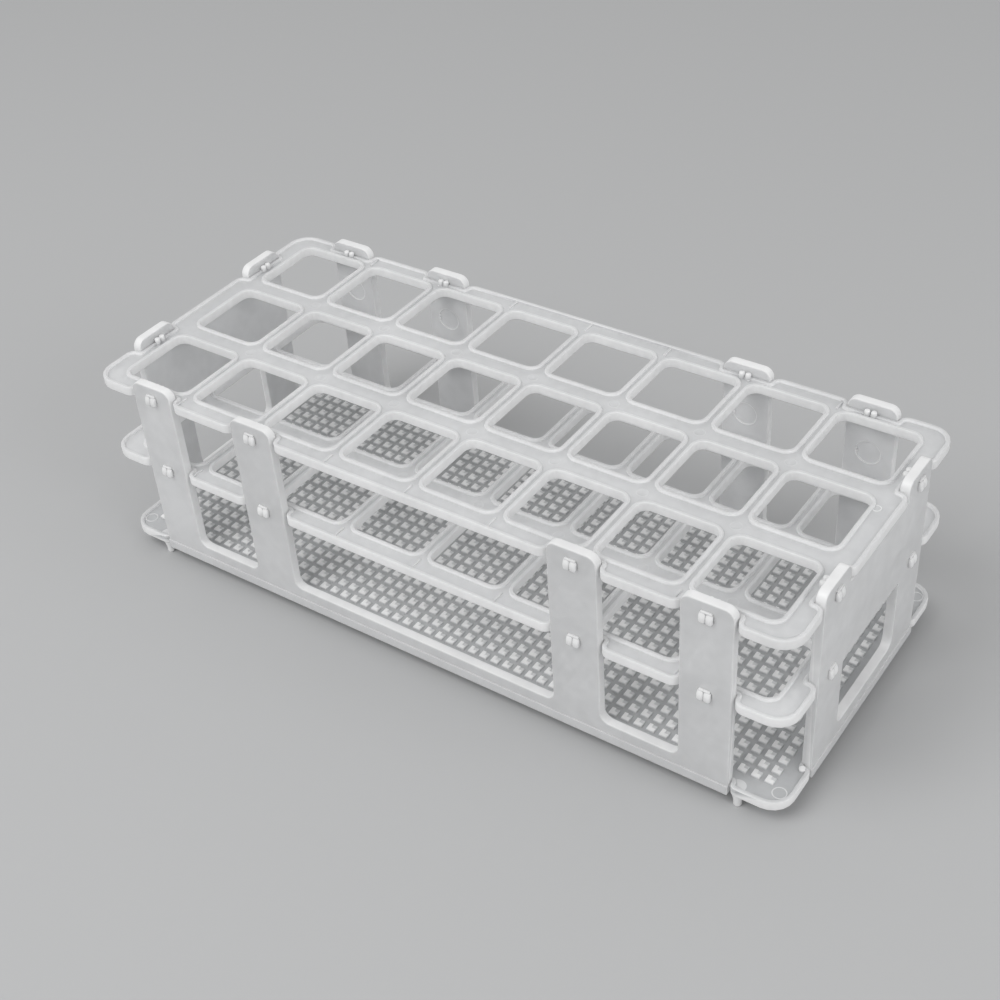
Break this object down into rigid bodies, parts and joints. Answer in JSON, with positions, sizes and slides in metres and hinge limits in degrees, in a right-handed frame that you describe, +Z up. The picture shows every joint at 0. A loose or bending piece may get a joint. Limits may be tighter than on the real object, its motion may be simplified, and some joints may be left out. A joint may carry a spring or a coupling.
{
  "type": "test tube rack",
  "caption": "Snap-together tiered test tube rack: pierced tiers with square wells over a studded base, held by slotted side and end panels.",
  "frame": {"origin": "centre of the rack's footprint, on the surface that the feet stand on", "axes": "+X along the length, +Y across the width towards the back, +Z up"},
  "size_m": [0.2476, 0.106, 0.0718],
  "materials": {
    "tiers": "satin natural polypropylene, slightly translucent",
    "panels": "satin natural polypropylene, slightly translucent"
  },
  "bodies": {
    "root": {"top_tier": "tiers", "middle_tier": "tiers", "base_tier": "tiers", "front_side_panel": "panels", "back_side_panel": "panels", "left_end_panel": "panels", "right_end_panel": "panels"}
  },
  "joints": []
}
